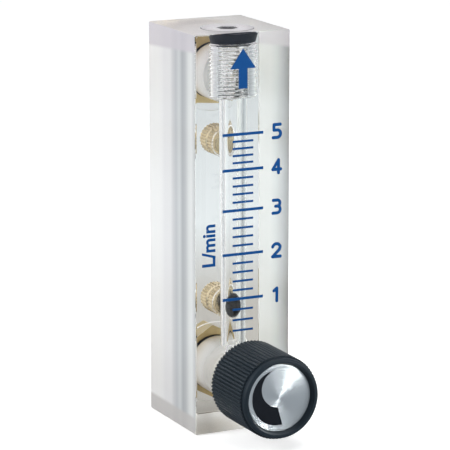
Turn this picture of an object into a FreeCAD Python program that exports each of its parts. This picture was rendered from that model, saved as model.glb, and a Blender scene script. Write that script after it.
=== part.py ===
import FreeCAD, Part
import math
import os
import re

import Sketcher

Vector = FreeCAD.Vector
Rotation = FreeCAD.Rotation

# Block rotameter, in millimetres. The frame is the meter's own: X to the right seen from the
# front, +Y to the rear, where the pipes join, and +Z up. The origin is the centre of the base.
# "Depth" means the distance behind the front face, so a part in front of it has a negative depth.

SIZES = {
    # The clear block.
    "block_width": 26.0, "block_depth": 28.0, "block_height": 101.6, "block_edge": 0.3,
    # Float, and the metering bore round it: a slow taper over a flat seat.
    "ball_diameter": 6.35, "ball_level": 30.9, "bore_setback": 9.0, "foot_gap": 0.3,
    "head_gap": 1.15, "seat_hole": 4.4, "seat_web": 3.1,
    # Top plug: flush head, cone seal, threaded stem with a gas way, hexagon socket.
    "plug_thread": 12.0, "plug_length": 13.7, "plug_head_step": 0.75,
    "plug_head_thickness": 0.6, "plug_seal_depth": 2.6, "plug_neck_step": 0.8,
    "plug_socket": 4.9, "plug_socket_depth": 4.5, "plug_wall": 2.3, "plug_cross_hole": 5.0,
    "plug_hollow_margin": 1.2, "stop_thickness": 0.8, "stop_hole": 3.0, "stop_vent": 1.2,
    "stop_vent_circle": 5.6,
    # Rear ports and the hexagon fittings in them.
    "port_height": 13.6, "outlet_drop": 11.8, "port_thread": 13.6, "port_web": 1.2,
    "spotface_clearance": 0.685, "spotface_depth": 0.8, "port_seal_step": 0.5,
    "port_seal_depth": 1.7, "hex_flats": 17.0, "hex_thickness": 6.5, "inlet_turn": 28.0,
    "outlet_turn": 5.0, "hex_edge": 0.9, "fitting_foot_gap": 2.0, "fitting_neck_step": 0.6,
    "pipe_bore": 8.7, "pipe_bore_depth": 9.5, "pipe_chamfer": 0.8, "gas_passage": 5.0,
    # Threaded inserts for the panel screws.
    "insert_diameter": 8.0, "insert_web": 0.25, "insert_thread": 4.2, "insert_spacing": 41.3,
    "insert_floor_gap": 0.3, "insert_waist_depth": 0.5, "insert_waist_width": 1.6,
    "insert_edge": 0.4, "insert_end": 1.5,
    # Needle valve cartridge, screwed into the front face.
    "valve_hex_flats": 12.0, "valve_hex_thickness": 1.8, "valve_hex_edge": 0.4,
    "valve_thread": 10.0, "valve_seal_step": 0.9, "valve_seal_depth": 1.5,
    "valve_neck_step": 0.6, "valve_nose_step": 0.7, "valve_collar": 0.5, "valve_tail": 2.0,
    "gas_groove_depth": 0.9, "gas_groove_width": 4.0, "gas_hole": 3.0,
    "nose_seal_inset": 0.9, "nose_seal_section": 0.8, "orifice": 2.2, "orifice_length": 1.6,
    "inlet_passage": 4.8,
    # Valve stem, and how far it travels each way from where it stands.
    "valve_closing": 1.0, "valve_opening": 2.0, "stem_thread": 6.0, "gland_step": 0.4,
    "stem_seal_section": 0.8, "stem_seal_slack": 0.15, "travel_slack": 0.1,
    "thread_slack": 0.2, "stem_land": 0.65, "needle_shank": 3.0, "needle_length": 2.6,
    "needle_tip": 0.7, "needle_slack": 0.1,
    # Knob.
    "knob_diameter": 21.3, "knob_length": 18.4, "knob_gap": 3.7, "rim_step": 0.5,
    "rim_length": 1.75, "rim_width": 1.57, "rim_edge": 0.6, "knob_edge": 0.3,
    "knob_boss": 12.6, "knob_wall": 1.65, "knob_recess": 3.0, "flute_count": 70,
    "flute_depth": 0.38, "flute_width": 0.72, "inlay_thickness": 0.5, "inlay_sink": 1.4,
    "bush_diameter": 9.5, "bush_front": 4.1, "bush_inset": 0.5, "shaft_diameter": 6.0,
    "shaft_flat": 0.5, "shaft_edge": 0.3, "screw_diameter": 3.0, "screw_length": 5.5,
    "screw_socket": 1.5, "screw_station": 9.1, "screw_turn": 45.0,
    # Mark on the inlay: a crescent that widens to a straight end.
    "mark_outer": 14.3, "mark_outer_x": -0.3, "mark_outer_z": 0.2,
    "mark_inner": 9.8, "mark_inner_x": 0.03, "mark_inner_z": 2.53,
    "mark_end_x": -0.47, "mark_end_z": -2.34, "mark_end_tilt": 16.0, "mark_end_overlap": 1.0,
    # Print on the front face; the marks are heights above the float's seat.
    "print_thickness": 0.05, "major_length": 11.25, "major_width": 0.72, "minor_length": 5.7,
    "minor_width": 0.55, "mark_low": 5.08, "mark_one": 13.22, "mark_two": 24.72,
    "mark_three": 35.94, "mark_four": 46.2, "mark_five": 55.2, "number_margin": 3.6,
    "number_width": 3.0, "number_height": 4.1, "number_stroke": 0.82,
    "arrow_drop": 14.0, "arrow_height": 10.0, "arrow_width": 7.0, "arrow_head": 5.0,
    "arrow_shaft": 2.4,
    # Clearances, all on the radius.
    "thread_fit": 0.05, "slip_fit": 0.02, "seal_fit": 0.05, "head_fit": 0.1, "running_fit": 0.05,
}

# Levels and sizes that follow from the ones above.
DERIVED = {
    "front": "0 - block_depth / 2",
    "rear": "block_depth / 2",
    "bore_y": "bore_setback - block_depth / 2",
    "bore_foot": "ball_diameter + foot_gap",
    "bore_head": "ball_diameter + head_gap",
    "outlet_height": "block_height - outlet_drop",
    "valve_nose": "valve_thread - 2 * valve_nose_step",
    "seat_level": "port_height + valve_nose / 2 + seat_web",
    "plug_head": "plug_thread + 2 * plug_head_step",
    "plug_neck": "plug_thread - 2 * plug_neck_step",
    "plug_hollow": "plug_thread - 2 * plug_wall",
    "head_level": "block_height - plug_head_thickness",
    "cone_level": "head_level - plug_seal_depth",
    "shoulder_level": "cone_level - plug_length",
    "plug_foot": "shoulder_level + stop_thickness",
    "hollow_level": "outlet_height + plug_cross_hole / 2 + plug_hollow_margin",
    "port_floor": "front + valve_nose_depth + port_web",
    "port_seal_mouth": "port_thread + 2 * port_seal_step",
    "spotface": "hex_flats * 2 / sqrt(3) + 2 * spotface_clearance",
    "fitting_face": "0 - spotface_depth",
    "fitting_foot": "port_floor + fitting_foot_gap - rear",
    "fitting_neck": "port_thread - 2 * fitting_neck_step",
    "pipe_mouth": "pipe_bore + 2 * pipe_chamfer",
    "insert_hole_tip": "bore_y + bore_head / 2 + insert_web",
    "insert_hole_floor": "insert_hole_tip + insert_diameter / 4",
    "insert_length": "rear - insert_hole_floor - insert_floor_gap",
    "insert_waist": "insert_diameter - 2 * insert_waist_depth",
    "valve_seal_mouth": "valve_thread + 2 * valve_seal_step",
    "valve_neck": "valve_thread - 2 * valve_neck_step",
    "valve_thread_depth": "bore_setback - gas_groove_width / 2 - valve_collar",
    "valve_nose_depth": "bore_setback + gas_groove_width / 2 + valve_tail",
    "gas_groove": "valve_nose - 2 * gas_groove_depth",
    "nose_seal_depth": "valve_nose_depth - nose_seal_inset",
    "nose_seal_groove": "valve_nose - 2 * nose_seal_section - 2 * seal_fit",
    "orifice_depth": "valve_nose_depth - orifice_length",
    "gland_bore": "stem_thread - 2 * gland_step",
    "stem_seal_floor": "gland_bore - 2 * stem_seal_section - 4 * running_fit",
    "seal_reach": "stem_seal_section / 2 + travel_slack",
    "stem_seal_depth": "bore_setback - gas_hole / 2 - valve_closing - seal_reach",
    "stem_nut_depth": "stem_seal_depth - valve_opening - seal_reach",
    "stem_thread_depth": "stem_nut_depth - valve_closing - thread_slack",
    "needle_share": "(needle_shank - orifice) / (needle_shank - needle_tip)",
    "needle_depth": "orifice_depth - needle_share * needle_length - valve_closing - needle_slack",
    "knob_back": "0 - knob_gap",
    "knob_front": "0 - knob_gap - knob_length",
    "knob_rim": "knob_diameter - 2 * rim_step",
    "inlay_diameter": "knob_rim - 2 * rim_width",
    "bush_floor": "knob_front + bush_front",
    "screw_depth": "knob_front + screw_station",
    "overcut": "1",
}

doc = FreeCAD.newDocument("rotameter")
sheet = doc.addObject("Spreadsheet::Sheet", "sizes")
for row, (name, number) in enumerate(SIZES.items(), start=1):
    sheet.set(f"A{row}", name)
    sheet.set(f"B{row}", str(number))
    sheet.setAlias(f"B{row}", name)
doc.recompute()


def formula(text):
    """Write out an expression on the names above as one that FreeCAD can evaluate."""
    def spell(match):
        word = match.group()
        if word in DERIVED:
            return "(" + formula(DERIVED[word]) + ")"
        return "sizes." + word if word in SIZES else word
    return re.sub(r"[a-z_]+", spell, str(text))


def size(text):
    """The present value of an expression."""
    return float(sheet.evalExpression(formula(text)))


def bind(item, **properties):
    """Tie properties to expressions; a double underscore stands for a dot in the name."""
    for name, text in properties.items():
        item.setExpression(name.replace("__", "."), formula(text))


def new_body(label):
    body = doc.addObject("PartDesign::Body", label)
    body.Label = label
    return body


def place(item, along, turn=0.0, **at):
    """Stand an item's own Z along the row's Z or Y, turned about it, with its origin bound."""
    lean = Rotation(Vector(1, 0, 0), -90 if along == "Y" else 0)
    item.Placement = FreeCAD.Placement(Vector(), lean * Rotation(Vector(0, 0, 1), turn))
    bind(item, **{"Placement__Base__" + axis: text for axis, text in at.items()})
    return item


def origin_plane(body, role):
    return next(item for item in body.Origin.OriginFeatures if item.Role == role)


def attach(item, body, role, **offset):
    item.AttachmentSupport = [(origin_plane(body, role), "")]
    item.MapMode = "FlatFace"
    bind(item, **{"AttachmentOffset__Base__" + axis: text for axis, text in offset.items()})


def outline(body, name, corners, role="XZ_Plane", **offset):
    """A closed sketch through corners, each a pair of expressions that hold it in place."""
    sketch = body.newObject("Sketcher::SketchObject", name)
    attach(sketch, body, role, **offset)
    points = [Vector(size(across), size(up), 0) for across, up in corners]
    for start, end in zip(points, points[1:] + points[:1]):
        sketch.addGeometry(Part.LineSegment(start, end), False)
    for index, corner in enumerate(corners):
        following = (index + 1) % len(corners)
        sketch.addConstraint(Sketcher.Constraint("Coincident", index, 2, following, 1))
        for kind, text in zip(("DistanceX", "DistanceY"), corner):
            rule = sketch.addConstraint(Sketcher.Constraint(kind, index, 1, size(text)))
            sketch.setExpression(f"Constraints[{rule}]", formula(text))
    return sketch


def turn_solid(body, name, corners):
    """Add the solid that a half section, as (radius, station), sweeps about the body's Z."""
    turned = body.newObject("PartDesign::Revolution", name)
    turned.Profile = outline(body, name + "_section", corners)
    turned.ReferenceAxis = (turned.Profile[0], ["V_Axis"])
    turned.Angle = 360
    doc.recompute()
    return turned


def turn_away(body, name, corners, axis="V_Axis", role="XZ_Plane", **offset):
    """Cut what a half section sweeps about an axis of its sketch, and see that it cuts."""
    before = body.Shape.Volume
    cut = body.newObject("PartDesign::Groove", name)
    cut.Profile = outline(body, name + "_section", corners, role, **offset)
    cut.ReferenceAxis = (cut.Profile[0], [axis])
    cut.Angle = 360
    doc.recompute()
    assert body.Shape.Volume < before, name + " cuts nothing"
    return cut


def bore_hole(body, name, radius, length, direction, turn="0", **at):
    """Cut a round hole along the body's own X, Y or Z from a bound point."""
    before = body.Shape.Volume
    hole = body.newObject("PartDesign::SubtractiveCylinder", name)
    attach(hole, body, "XY_Plane", **at)
    lean = {"X": Rotation(Vector(0, 1, 0), 90), "Y": Rotation(Vector(1, 0, 0), -90),
            "Z": Rotation()}[direction]
    about_z = Rotation(Vector(0, 0, 1), size(turn))
    hole.AttachmentOffset = FreeCAD.Placement(hole.AttachmentOffset.Base, about_z * lean)
    bind(hole, Radius=radius, Height=length)
    doc.recompute()
    assert body.Shape.Volume < before, name + " cuts nothing"
    return hole


def hexagon(body, name, kind, flats, height, station):
    """Add or cut a hexagonal prism across the given flats, from a station upwards."""
    prism = body.newObject("PartDesign::" + kind + "Prism", name)
    attach(prism, body, "XY_Plane", z=station)
    prism.Polygon = 6
    bind(prism, Circumradius=f"({flats}) / sqrt(3)", Height=height)
    doc.recompute()
    return prism


# ---- The block and what is screwed into its top -------------------------------------------

def meter_block():
    """Clear block with the metering bore, both ports, the valve bore and the insert holes."""
    body = new_body("meter_block")
    half_width, half_depth = "block_width / 2", "block_depth / 2"
    plan = outline(body, "plan", [
        (f"0 - {half_width}", f"0 - {half_depth}"), (half_width, f"0 - {half_depth}"),
        (half_width, half_depth), (f"0 - {half_width}", half_depth)], "XY_Plane")
    pad = body.newObject("PartDesign::Pad", "stock")
    pad.Profile = plan
    bind(pad, Length="block_height")
    doc.recompute()
    edge = body.newObject("PartDesign::Chamfer", "broken_edges")
    edge.Base = (pad, [f"Edge{number}" for number in range(1, len(pad.Shape.Edges) + 1)])
    bind(edge, Size="block_edge")
    doc.recompute()
    turn_away(body, "metering_bore", [
        ("0", "port_height"), ("seat_hole / 2", "port_height"), ("seat_hole / 2", "seat_level"),
        ("bore_foot / 2", "seat_level"), ("bore_head / 2", "shoulder_level"),
        ("plug_thread / 2", "shoulder_level"), ("plug_thread / 2", "cone_level"),
        ("plug_head / 2", "head_level"), ("plug_head / 2 + head_fit", "head_level"),
        ("plug_head / 2 + head_fit", "block_height + overcut"),
        ("0", "block_height + overcut")], z="0 - bore_y")
    port_mouth = [
        ("port_floor", "port_thread / 2"),
        ("rear - spotface_depth - port_seal_depth", "port_thread / 2"),
        ("rear - spotface_depth", "port_seal_mouth / 2"), ("rear - spotface_depth", "spotface / 2"),
        ("rear + overcut", "spotface / 2"), ("rear + overcut", "0")]
    turn_away(body, "inlet_and_valve_bore", [
        ("front - overcut", "0"), ("front - overcut", "valve_seal_mouth / 2"),
        ("front", "valve_seal_mouth / 2"), ("front + valve_seal_depth", "valve_thread / 2"),
        ("front + valve_thread_depth", "valve_thread / 2"),
        ("front + valve_thread_depth", "valve_nose / 2"),
        ("front + valve_nose_depth", "valve_nose / 2"),
        ("front + valve_nose_depth", "inlet_passage / 2"), ("port_floor", "inlet_passage / 2"),
        *port_mouth], "H_Axis", "YZ_Plane", y="port_height")
    turn_away(body, "outlet_bore", [
        ("bore_y", "0"), ("bore_y", "gas_passage / 2"), ("port_floor", "gas_passage / 2"),
        *port_mouth], "H_Axis", "YZ_Plane", y="outlet_height")
    for name, height in insert_heights():
        turn_away(body, name + "_hole", [
            ("insert_hole_tip", "0"), ("insert_hole_floor", "insert_diameter / 2"),
            ("rear + overcut", "insert_diameter / 2"), ("rear + overcut", "0")],
            "H_Axis", "YZ_Plane", y=height)
    return body


def insert_heights():
    """Each panel insert's name and height: they are centred between the two ports."""
    middle = "(port_height + outlet_height) / 2"
    return [("lower_mount_insert", middle + " - insert_spacing / 2"),
            ("upper_mount_insert", middle + " + insert_spacing / 2")]


def top_plug():
    """Clear plug, flush with the top: hollow below, with a cross hole to the outlet."""
    body = new_body("top_plug")
    stem = "plug_thread / 2 - thread_fit"
    turn_solid(body, "plug", [
        ("0", "block_height"), ("plug_head / 2", "block_height"), ("plug_head / 2", "head_level"),
        ("plug_neck / 2", "head_level"), ("plug_neck / 2", "cone_level"), (stem, "cone_level"),
        (stem, "plug_foot"), ("plug_hollow / 2", "plug_foot"),
        ("plug_hollow / 2", "hollow_level"), ("0", "hollow_level")])
    hexagon(body, "socket", "Subtractive", "plug_socket", "plug_socket_depth + overcut",
            "block_height - plug_socket_depth")
    bore_hole(body, "gas_way", "plug_cross_hole / 2", "plug_thread", "Y",
              y="0 - plug_thread / 2", z="outlet_height")
    return place(body, "Z", y="bore_y")


def cone_seal(label, along, inner, small, large, narrow_end, wide_end, **at):
    """Ring squeezed into a conical seat, a little clear of the seat and of the neck."""
    body = new_body(label)
    turn_solid(body, "ring", [
        (f"{inner} / 2 + seal_fit", narrow_end), (f"{small} / 2 - seal_fit", narrow_end),
        (f"{large} / 2 - seal_fit", wide_end), (f"{inner} / 2 + seal_fit", wide_end)])
    return place(body, along, **at)


def float_stop():
    """Perforated disc under the plug: it stops the ball and lets the gas by."""
    body = new_body("float_stop")
    turn_solid(body, "disc", [
        ("stop_hole / 2", "shoulder_level"), ("plug_thread / 2 - thread_fit", "shoulder_level"),
        ("plug_thread / 2 - thread_fit", "plug_foot"), ("stop_hole / 2", "plug_foot")])
    vent = bore_hole(body, "vent", "stop_vent / 2", "stop_thickness + 2 * overcut", "Z",
                     x="stop_vent_circle / 2", z="shoulder_level - overcut")
    vents = body.newObject("PartDesign::PolarPattern", "vents")
    vents.Originals = [vent]
    vents.Axis = (origin_plane(body, "Z_Axis"), [""])
    vents.Angle = 360
    vents.Occurrences = 6
    body.Tip = vents
    doc.recompute()
    return place(body, "Z", y="bore_y")


# ---- Rear fittings, their seals and the panel inserts --------------------------------------

def port_fitting(label, height, turn):
    """Brass hexagon adapter with a taper pipe thread, turned as far as it was tightened."""
    body = new_body(label)
    thread, foot = "port_thread / 2 - thread_fit", "fitting_foot"
    turn_solid(body, "shank", [
        ("0", "fitting_face"), ("fitting_neck / 2", "fitting_face"),
        ("fitting_neck / 2", "fitting_face - port_seal_depth"),
        (thread, "fitting_face - port_seal_depth"), (thread, foot), ("0", foot)])
    hexagon(body, "hexagon", "Additive", "hex_flats", "hex_thickness", "fitting_face")
    end = "fitting_face + hex_thickness"
    turn_away(body, "rounded_corners", [
        ("hex_flats / 2", f"{end} + overcut"), ("hex_flats / 2", end),
        ("hex_flats / 2 + 2 * hex_edge", f"{end} - hex_edge"),
        ("hex_flats / 2 + 2 * hex_edge", f"{end} + overcut")])
    floor = f"{end} - pipe_bore_depth"
    turn_away(body, "pipe_socket", [
        ("0", f"{end} + overcut"), ("pipe_mouth / 2", f"{end} + overcut"),
        ("pipe_mouth / 2", end), ("pipe_bore / 2", f"{end} - pipe_chamfer"),
        ("pipe_bore / 2", floor), ("gas_passage / 2", floor),
        ("gas_passage / 2", f"{foot} - overcut"), ("0", f"{foot} - overcut")])
    return place(body, "Y", turn=size(f"{turn} + 30"), y="rear", z=height)


def mount_insert(label, height):
    """Brass bush for a panel screw, closed in front, with a waist between its two bands."""
    body = new_body(label)
    outer, inner, waist = "insert_diameter / 2 - slip_fit", "insert_thread / 2", "insert_waist / 2"
    low, high = "(0 - insert_length - insert_waist_width) / 2", \
        "(insert_waist_width - insert_length) / 2"
    turn_solid(body, "bush", [
        (f"{inner} + insert_edge", "0"), (f"{outer} - insert_edge", "0"),
        (outer, "0 - insert_edge"), (outer, high), (waist, high), (waist, low), (outer, low),
        (outer, "insert_edge - insert_length"), (f"{outer} - insert_edge", "0 - insert_length"),
        ("0", "0 - insert_length"), ("0", "insert_end - insert_length"),
        (inner, "insert_end - insert_length"), (inner, "0 - insert_edge")])
    return place(body, "Y", y="rear", z=height)


# ---- Needle valve ----------------------------------------------------------------------------

def valve_body():
    """Brass cartridge: nut thread and gland for the stem, gas groove, and the orifice."""
    body = new_body("valve_body")
    thread = "valve_thread / 2 - thread_fit"
    nose, end = "valve_nose / 2 - thread_fit", "valve_nose_depth - slip_fit"
    groove_start = "bore_setback - gas_groove_width / 2"
    groove_end = "bore_setback + gas_groove_width / 2"
    seal_start = "nose_seal_depth - nose_seal_section / 2 - slip_fit"
    seal_end = "nose_seal_depth + nose_seal_section / 2 + slip_fit"
    turn_solid(body, "cartridge", [
        ("0", "0"), ("valve_neck / 2", "0"), ("valve_neck / 2", "valve_seal_depth"),
        (thread, "valve_seal_depth"), (thread, "valve_thread_depth - slip_fit"),
        (nose, "valve_thread_depth - slip_fit"), (nose, groove_start),
        ("gas_groove / 2", groove_start), ("gas_groove / 2", groove_end), (nose, groove_end),
        (nose, seal_start), ("nose_seal_groove / 2", seal_start),
        ("nose_seal_groove / 2", seal_end), (nose, seal_end), (nose, end), ("0", end)])
    hexagon(body, "hexagon", "Additive", "valve_hex_flats", "valve_hex_thickness",
            "0 - valve_hex_thickness")
    face = "0 - valve_hex_thickness"
    turn_away(body, "rounded_corners", [
        ("valve_hex_flats / 2", f"{face} - overcut"), ("valve_hex_flats / 2", face),
        ("valve_hex_flats / 2 + 2 * valve_hex_edge", f"{face} + valve_hex_edge"),
        ("valve_hex_flats / 2 + 2 * valve_hex_edge", f"{face} - overcut")])
    turn_away(body, "stem_way", [
        ("0", f"{face} - overcut"), ("stem_thread / 2", f"{face} - overcut"),
        ("stem_thread / 2", "stem_nut_depth"), ("gland_bore / 2", "stem_nut_depth"),
        ("gland_bore / 2", "orifice_depth"), ("orifice / 2", "orifice_depth"),
        ("orifice / 2", f"{end} + overcut"), ("0", f"{end} + overcut")])
    bore_hole(body, "gas_way", "gas_hole / 2", "valve_nose", "Y",
              y="0 - valve_nose / 2", z="bore_setback")
    return place(body, "Y", y="front", z="port_height")


def ring_seal(label, inner, section, fit, depth):
    """Round sealing ring: its inside clears a groove's floor by the given fit."""
    ring = doc.addObject("Part::Torus", label)
    ring.Label = label
    bind(ring, Radius2=f"{section} / 2", Radius1=f"{inner} / 2 + {fit} + {section} / 2")
    return place(ring, "Y", y=f"front + {depth}", z="port_height")


def valve_stem():
    """Steel spindle: knob shaft with a flat, thread, seal groove and needle."""
    body = new_body("valve_stem")
    shaft, thread = "shaft_diameter / 2", "stem_thread / 2 - running_fit"
    gland = "gland_bore / 2 - 2 * running_fit"
    groove = "(stem_seal_section / 2 + stem_seal_slack)"
    shoulder = f"stem_seal_depth + {groove} + stem_land"
    shaft_front = "bush_floor + shaft_edge"
    turn_solid(body, "spindle", [
        ("0", shaft_front), (f"{shaft} - shaft_edge", shaft_front),
        (shaft, f"{shaft_front} + shaft_edge"), (shaft, "knob_back - shaft_edge"),
        (thread, "knob_back - shaft_edge"), (thread, "stem_thread_depth"),
        (gland, "stem_thread_depth"), (gland, f"stem_seal_depth - {groove}"),
        ("stem_seal_floor / 2", f"stem_seal_depth - {groove}"),
        ("stem_seal_floor / 2", f"stem_seal_depth + {groove}"),
        (gland, f"stem_seal_depth + {groove}"), (gland, shoulder),
        ("needle_shank / 2", shoulder), ("needle_shank / 2", "needle_depth"),
        ("needle_tip / 2", "needle_depth + needle_length"),
        ("0", "needle_depth + needle_length")])
    flat = body.newObject("PartDesign::SubtractiveBox", "screw_flat")
    attach(flat, body, "XY_Plane")
    turn = Rotation(Vector(0, 0, 1), size("screw_turn"))
    corner = Vector(size("shaft_diameter / 2 - shaft_flat"), size("0 - shaft_diameter / 2"),
                    size("screw_depth - screw_diameter"))
    flat.AttachmentOffset = FreeCAD.Placement(turn.multVec(corner), turn)
    bind(flat, Length="shaft_diameter", Width="shaft_diameter", Height="2 * screw_diameter")
    doc.recompute()
    return place(body, "Y", y="front", z="port_height")


# ---- Knob ----------------------------------------------------------------------------------

def knob_shell():
    """Moulded knob: fluted side, smooth front rim with the inlay's recess, hollow back."""
    body = new_body("knob_shell")
    side, rim = "knob_diameter / 2", "knob_rim / 2"
    recess_floor = "knob_front + inlay_sink + inlay_thickness"
    shoulder = "knob_front + rim_length"
    turn_solid(body, "moulding", [
        ("bush_diameter / 2", "knob_back"), ("knob_boss / 2", "knob_back"),
        ("knob_boss / 2", "knob_back - knob_recess"),
        (f"{side} - knob_wall", "knob_back - knob_recess"), (f"{side} - knob_wall", "knob_back"),
        (f"{side} - knob_edge", "knob_back"), (side, "knob_back - knob_edge"), (side, shoulder),
        (rim, shoulder), (rim, "knob_front + rim_edge"), (f"{rim} - rim_edge", "knob_front"),
        ("inlay_diameter / 2 + seal_fit", "knob_front"),
        ("inlay_diameter / 2 + seal_fit", recess_floor), ("0", recess_floor),
        ("0", "bush_floor"), ("bush_diameter / 2", "bush_floor")])
    before = body.Shape.Volume
    flute = body.newObject("PartDesign::Pocket", "flute")
    flute.Profile = outline(body, "flute_section", [
        (f"{side} - flute_depth", "0"), (f"{side} + flute_depth", "0 - flute_width"),
        (f"{side} + flute_depth", "flute_width")], "XY_Plane", z=shoulder)
    flute.Type = "Length"
    flute.Reversed = True
    bind(flute, Length="knob_length")
    doc.recompute()
    assert body.Shape.Volume < before, "flute cuts nothing"
    flutes = body.newObject("PartDesign::PolarPattern", "flutes")
    flutes.Originals = [flute]
    flutes.Axis = (origin_plane(body, "Z_Axis"), [""])
    flutes.Angle = 360
    bind(flutes, Occurrences="flute_count")
    body.Tip = flutes
    doc.recompute()
    bore_hole(body, "screw_hole", "screw_diameter / 2", "knob_diameter", "X", "screw_turn",
              z="screw_depth")
    return place(body, "Y", y="front", z="port_height")


def knob_bush():
    """Brass bush moulded into the knob; the grub screw's thread is in its wall."""
    body = new_body("knob_bush")
    inner, outer = "shaft_diameter / 2 + slip_fit", "bush_diameter / 2 - slip_fit"
    front, back = "bush_floor + slip_fit", "knob_back - bush_inset"
    turn_solid(body, "bush", [(inner, front), (outer, front), (outer, back), (inner, back)])
    bore_hole(body, "screw_thread", "screw_diameter / 2", "bush_diameter", "X", "screw_turn",
              z="screw_depth")
    return place(body, "Y", y="front", z="port_height")


def knob_set_screw():
    """Grub screw that grips the flat on the shaft, with a hexagon socket."""
    body = new_body("knob_set_screw")
    radius, start = "screw_diameter / 2 - slip_fit", "shaft_diameter / 2 - shaft_flat + slip_fit"
    turn_solid(body, "screw", [
        ("0", start), (radius, start), (radius, f"{start} + screw_length"),
        ("0", f"{start} + screw_length")])
    hexagon(body, "socket", "Subtractive", "screw_socket", "screw_length",
            f"{start} + screw_length / 2")
    out_of_knob = Rotation(Vector(1, 0, 0), -90) * Rotation(Vector(0, 0, 1), size("screw_turn"))
    body.Placement.Rotation = out_of_knob * Rotation(Vector(0, 1, 0), 90)
    bind(body, Placement__Base__y="front + screw_depth", Placement__Base__z="port_height")
    return body


def knob_inlay():
    """Spun aluminium disc, sunk in the knob's rim."""
    body = new_body("knob_inlay")
    face, back = "knob_front + inlay_sink", "knob_front + inlay_sink + inlay_thickness"
    turn_solid(body, "disc", [
        ("0", face), ("inlay_diameter / 2", face), ("inlay_diameter / 2", back), ("0", back)])
    return place(body, "Y", y="front", z="port_height")


def inlay_mark():
    """Black crescent on the inlay, from two discs and the blocks that end it on the right."""
    face = "front + knob_front + inlay_sink - print_thickness"

    def disc(name, across, x, z):
        piece = doc.addObject("Part::Cylinder", name)
        bind(piece, Radius=f"{across} / 2", Height="print_thickness")
        return place(piece, "Y", x=x, z=f"port_height + {z}", y=face)

    def block(name, tilt, x, z):
        piece = doc.addObject("Part::Box", name)
        bind(piece, Length="mark_outer", Width="3 * print_thickness", Height="mark_outer")
        piece.Placement.Rotation = Rotation(Vector(0, 1, 0), tilt)
        bind(piece, Placement__Base__x=x, Placement__Base__z=z,
             Placement__Base__y=f"{face} - print_thickness")
        return piece

    crescent = doc.addObject("Part::Cut", "crescent")
    crescent.Base = disc("mark_disc", "mark_outer", "mark_outer_x", "mark_outer_z")
    crescent.Tool = disc("mark_hollow", "mark_inner", "mark_inner_x", "mark_inner_z")
    tilt = size("mark_end_tilt")
    right = f"{math.sin(math.radians(tilt)):.6f} * (mark_outer - mark_end_overlap)"
    down = f"{math.cos(math.radians(tilt)):.6f} * (mark_outer - mark_end_overlap)"
    ends = doc.addObject("Part::MultiFuse", "mark_ends")
    ends.Shapes = [
        block("mark_lower_end", -tilt, f"mark_end_x + {right}",
              f"port_height + mark_end_z - {down}"),
        block("mark_right_side", 0.0, "0", "port_height + mark_end_z")]
    mark = doc.addObject("Part::Cut", "inlay_mark")
    mark.Base = crescent
    mark.Tool = ends
    mark.Label = "inlay_mark"
    return mark


# ---- Print on the front face -------------------------------------------------------------

MARKS = ["mark_low", "mark_one", "mark_two", "mark_three", "mark_four", "mark_five"]
STEPS_BETWEEN_MARKS = 5
STEPS_BELOW_ONE = 3


def scale_ticks():
    """Long lines at the whole numbers, and short ones at each fifth between them."""
    def tick(name, level, kind):
        line = doc.addObject("Part::Box", name)
        bind(line, Length=kind + "_length", Width="print_thickness", Height=kind + "_width",
             Placement__Base__x=f"0 - {kind}_length / 2",
             Placement__Base__y="front - print_thickness",
             Placement__Base__z=f"{level} - {kind}_width / 2")
        return line

    lines = []
    for low, high in zip(MARKS, MARKS[1:]):
        steps = STEPS_BELOW_ONE if low == "mark_low" else STEPS_BETWEEN_MARKS
        for step in range(steps):
            whole = step == 0 and low != "mark_low"
            level = f"seat_level + {low} + ({high} - {low}) * {step} / {steps}"
            lines.append(tick(f"tick_{low}_{step}", level, "major" if whole else "minor"))
    lines.append(tick("tick_top", "seat_level + mark_five", "major"))
    ticks = doc.addObject("Part::Compound", "scale_ticks")
    ticks.Links = lines
    ticks.Label = "scale_ticks"
    return ticks


def stroke(points, arcs=()):
    """One pen stroke through points; each arc is the index of the middle of three points."""
    edges, index = [], 0
    while index < len(points) - 1:
        if index + 1 in arcs:
            edges.append(Part.Arc(*points[index:index + 3]).toShape())
            index += 2
        else:
            edges.append(Part.LineSegment(points[index], points[index + 1]).toShape())
            index += 1
    around = Part.Wire(edges).makeOffset2D(size("number_stroke") / 2, 0, False, False, False)
    return Part.Face(around)


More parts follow.
